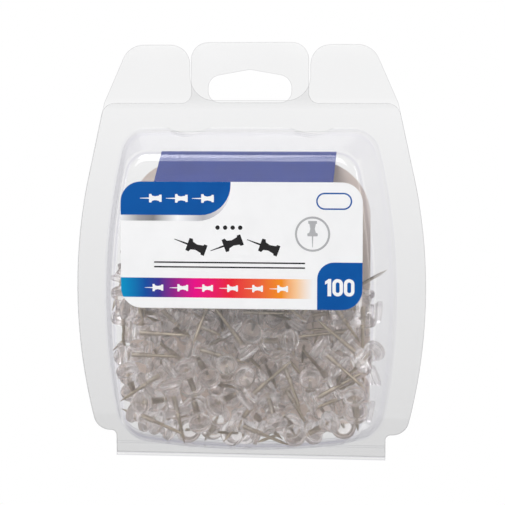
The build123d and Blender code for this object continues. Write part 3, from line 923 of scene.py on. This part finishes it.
# %% [markdown]
# ## Where the pins lie
# Each pin of the heap is a needle in a handle, and ten pins make a layer. Their places could be listed
# by hand, but a list goes wrong as soon as the heap changes. The needle's mesh tells the whole place of
# its pin: it is the only piece with a point, so its thin end and its thick end give the axis. Merging
# the mesh's doubled points and walking along its edges takes the needles of a layer apart.

# %% Take the needles of a layer apart
SEAM = 0.001 * MM


def islands(mesh):
    """Points of each separate solid of a mesh."""
    whole = bmesh.new()
    whole.from_mesh(mesh)
    bmesh.ops.remove_doubles(whole, verts=whole.verts, dist=SEAM)
    waiting = dict.fromkeys(whole.verts)
    found = []
    while waiting:
        walk = [waiting.popitem()[0]]
        points = []
        while walk:
            point = walk.pop()
            points.append(point.co.copy())
            for edge in point.link_edges:
                other = edge.other_vert(point)
                if other in waiting:
                    del waiting[other]
                    walk.append(other)
        found.append(np.array(points))
    whole.free()
    return found


layers = sorted(name[-2:] for name in solids if name.startswith("pin_needles_"))
needles = {layer: islands(solids[f"pin_needles_{layer}"].data) for layer in layers}
print("needles:", sum(len(found) for found in needles.values()), "in", len(layers), "layers")

# %% Read the places of the pins from their needles
NEEDLE_EXPOSED = 10.5 * MM


def pin_place(points):
    """Matrix that puts a pin, its collar at the origin and its head along Z, round this needle."""
    middle = points.mean(axis=0)
    axis = np.linalg.svd(points - middle)[2][0]
    along = (points - middle) @ axis
    off = np.linalg.norm(points - middle - np.outer(along, axis), axis=1)
    if off[along > along.max() - SEAM].max() < off[along < along.min() + SEAM].max():
        axis, along = -axis, -along
    tip = points[along < along.min() + SEAM].mean(axis=0)
    up = Vector(axis)
    collar = Vector(tip) + up * NEEDLE_EXPOSED
    return Matrix.Translation(collar) @ up.to_track_quat("Z", "X").to_matrix().to_4x4()


places = {}
for layer in layers:
    in_order = sorted(needles[layer], key=lambda points: tuple(points.mean(axis=0)))
    places[layer] = [pin_place(points) for points in in_order]
heights = [matrix.translation.z / MM for found in places.values() for matrix in found]
print("collars lie from", round(min(heights), 1), "to", round(max(heights), 1), "mm")

# %% [markdown]
# ## Steel of the needles
# The needles are drawn wire, bright but not polished. A plain metal with one roughness would look like
# a mirror or like paint. Fine streaks that change colour, roughness and relief together break the gloss.

# %% Dress the needles in steel
STREAK = 0.5 * MM
STEEL_ROUGHNESS = (0.22, 0.40)
STEEL_RELIEF = 0.004 * MM


def drawn_steel():
    """Steel wire with fine streaks."""
    material, tree = new_finish("drawn_steel")
    streaks = grain(tree, STREAK, detail=4.0)
    inputs = {
        "Base Color": drift(tree, streaks, shade(146, 134, 117), shade(180, 167, 149)),
        "Metallic": 1.0,
        "Roughness": between(tree, streaks, *STEEL_ROUGHNESS),
        "Normal": bump(tree, streaks, STEEL_RELIEF),
    }
    return finished(material, add(tree, "ShaderNodeBsdfPrincipled", inputs).outputs[0])


steel = drawn_steel()
for layer in layers:
    dress(f"pin_needles_{layer}", steel)
print("needles dressed in", len(layers), "layers")

# %% [markdown]
# ## Clear handles
# A handle is moulded round its needle, so there is no gap between plastic and steel. The solid model has
# a bore there, and a ray of light would see a gap of air in it, so its handles can't be shown as they
# are. Each is turned again as one closed body. Its profile goes from the collar over the waist to the
# head, with rounded edges and, in the head, the shallow dish where the plastic went in.

# %% Round a corner of a profile
EDGE_ROUND = 0.5


def rounded_corner(before, corner, after, count=4):
    """Points that round a corner of a profile."""
    before, corner, after = (np.array(p, float) for p in (before, corner, after))
    into = (before - corner) / np.linalg.norm(before - corner)
    out = (after - corner) / np.linalg.norm(after - corner)
    half = math.acos(float(np.clip(into @ out, -1, 1))) / 2
    reach = EDGE_ROUND / math.tan(half)
    middle = corner + (into + out) / np.linalg.norm(into + out) * EDGE_ROUND / math.sin(half)
    start, end = corner + into * reach - middle, corner + out * reach - middle
    spread = [start * (1 - t) + end * t for t in np.linspace(0, 1, count)]
    return [tuple(middle + p / np.linalg.norm(p) * EDGE_ROUND) for p in spread]


print("edges rounded by", EDGE_ROUND, "mm")

# %% Profile of a handle
# Sizes in mm. Collar, head and waist have a radius and a height, and the two necks a radius each.
HANDLE_LENGTH = 12.0
COLLAR = (4.5, 1.8)
HEAD = (3.9, 1.9)
WAIST = (2.4, 5.6)
NECKS = (3.5, 3.2)
WAIST_STEPS = 11
# The dish has a radius and a depth, and its steps are shares of both, from its brim to its middle.
DISH = (1.1, 0.16)
DISH_STEPS = ((1.5, 0.0), (1.1, 0.25), (0.7, 1.0), (0.0, 1.0))


def handle_profile():
    """Radius and height along a handle, from the middle of the collar to the middle of the head."""
    head_foot = HANDLE_LENGTH - HEAD[1]
    heights = np.linspace(COLLAR[1], head_foot, WAIST_STEPS)
    curve = np.polyfit((COLLAR[1], WAIST[1], head_foot), (NECKS[0], WAIST[0], NECKS[1]), 2)
    waist = [(float(np.polyval(curve, s)), float(s)) for s in heights]
    collar_foot, collar_top = (COLLAR[0], 0.0), (COLLAR[0], COLLAR[1])
    head_low, head_top = (HEAD[0], head_foot), (HEAD[0], HANDLE_LENGTH)
    return [
        (0.0, 0.0),
        (COLLAR[0] / 2, 0.0),
        *rounded_corner((0.0, 0.0), collar_foot, collar_top),
        *rounded_corner(collar_foot, collar_top, waist[0]),
        *waist,
        *rounded_corner(waist[-1], head_low, head_top),
        *rounded_corner(head_low, head_top, (0.0, HANDLE_LENGTH)),
        *((DISH[0] * reach, HANDLE_LENGTH - DISH[1] * sunk) for reach, sunk in DISH_STEPS),
    ]


profile = handle_profile()
print("profile of a handle:", len(profile), "points")

# %% [markdown]
# A screw modifier would turn the profile too, but it makes every turn alike. Turned in code, the body
# also gets the fine seam that the two halves of the mould leave down both sides.

# %% Turn the profile
SEAM_HEIGHT = 0.03
TURNS = 36


def turned(profile):
    """Points and faces of a profile turned round Z, with a mould seam on both sides."""
    points = [(0.0, 0.0, profile[0][1])]
    for radius, height in profile[1:-1]:
        for n in range(TURNS):
            angle = 2 * math.pi * n / TURNS
            r = radius + (SEAM_HEIGHT if n % (TURNS // 2) == 0 else 0.0)
            points.append((r * math.cos(angle), r * math.sin(angle), height))
    points.append((0.0, 0.0, profile[-1][1]))
    last = len(points) - 1
    rings = len(profile) - 2
    faces = [(0, 1 + (n + 1) % TURNS, 1 + n) for n in range(TURNS)]
    for ring in range(rings - 1):
        low, high = 1 + ring * TURNS, 1 + (ring + 1) * TURNS
        for n in range(TURNS):
            follow = (n + 1) % TURNS
            faces.append((low + n, low + follow, high + follow, high + n))
    top = 1 + (rings - 1) * TURNS
    faces += [(top + n, top + (n + 1) % TURNS, last) for n in range(TURNS)]
    return np.array(points) * MM, faces


handle_points, handle_faces = turned(profile)
print("one handle:", len(handle_points), "points and", len(handle_faces), "faces")

# %% [markdown]
# Clear plastic this thick bends light for real, so the handles get a refracting shader. Cheap moulding
# leaves it a little cloudy, which takes a share of milk, and scuffed, which lets a share of the light
# straight through. The milk shows most where one looks along the surface, so every rim is drawn by
# a pale line. A lamp's shadow ray can't bend, and would treat the heap as solid, so for shadow rays
# alone the handle is plainly see-through, as the sheet is.

# %% Finish of the handles
PLASTIC_INDEX = 1.59
PLASTIC_TINTS = ((0.968, 0.939, 0.928, 1), (0.990, 0.970, 0.961, 1))
PLASTIC_ROUGHNESS = (0.0, 0.05)
PLASTIC_RELIEF = 0.02 * MM
FLOW = 2.2 * MM
FLOW_STRETCH = (1.0, 1.0, 0.5)
STRAIGHT = 0.10
STRAIGHT_TINT = (0.95, 0.94, 0.935, 1)
MILK = shade(250, 240, 236)
MILK_DEPTH = 0.5
MILK_SHARE = (0.05, 0.22)
HANDLE_FOR_LAMPS = (0.952, 0.946, 0.942, 1)


def clear_handle():
    """Clear moulded plastic, milky towards its rims."""
    material, tree = new_finish("clear_handle")
    flow = grain(tree, FLOW, stretch=FLOW_STRETCH)
    inputs = {
        "Base Color": drift(tree, flow, *PLASTIC_TINTS),
        "Roughness": between(tree, flow, *PLASTIC_ROUGHNESS),
        "IOR": PLASTIC_INDEX,
        "Transmission Weight": 1.0,
        "Normal": bump(tree, flow, PLASTIC_RELIEF),
    }
    bending = add(tree, "ShaderNodeBsdfPrincipled", inputs).outputs[0]
    straight = add(tree, "ShaderNodeBsdfTransparent", {"Color": STRAIGHT_TINT}).outputs[0]
    skin = add(tree, "ShaderNodeBsdfDiffuse", {"Color": MILK}).outputs[0]
    inside = add(tree, "ShaderNodeBsdfTranslucent", {"Color": MILK}).outputs[0]
    clear = mix(tree, STRAIGHT, bending, straight)
    milk = mix(tree, MILK_DEPTH, skin, inside)
    cloudy = mix(tree, towards_rim(tree, slant_of(tree), *MILK_SHARE), clear, milk)
    return finished(material, plain_for_lamps(tree, cloudy, HANDLE_FOR_LAMPS))


moulded = clear_handle()
print("handles bend light by an index of", PLASTIC_INDEX)

# %% [markdown]
# A hundred handles could be a hundred objects that share one mesh. The solid model keeps them in ten
# layers, and one mesh for each layer stands for one of its nodes. Every handle is rolled round its
# needle by chance, so that the seams don't line up, and the chance is seeded, so that each run deals
# the same rolls.

# %% Mould the ten layers of handles
ROLL_SEED = 4


def handle_layer(layer, finish, dice):
    """All handles of one layer as one piece, each rolled round its needle by chance."""
    points, faces = [], []
    for matrix in places[layer]:
        rolled = matrix @ Matrix.Rotation(dice.uniform(0, 2 * math.pi), 4, "Z")
        turn, shift = np.array(rolled.to_3x3()), np.array(rolled.translation)
        faces += [tuple(len(points) + n for n in face) for face in handle_faces]
        points += [tuple(p) for p in handle_points @ turn.T + shift]
    mesh = bpy.data.meshes.new(f"handles_{layer}")
    mesh.from_pydata(points, [], faces)
    mesh.polygons.foreach_set("use_smooth", [True] * len(faces))
    piece = place(mesh, finish, "tray", "clear_handle")
    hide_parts(f"pin_handles_{layer}")
    return piece


dice = random.Random(ROLL_SEED)
for layer in layers:
    made = handle_layer(layer, moulded, dice)
    print(made.name, len(made.data.polygons), "faces")
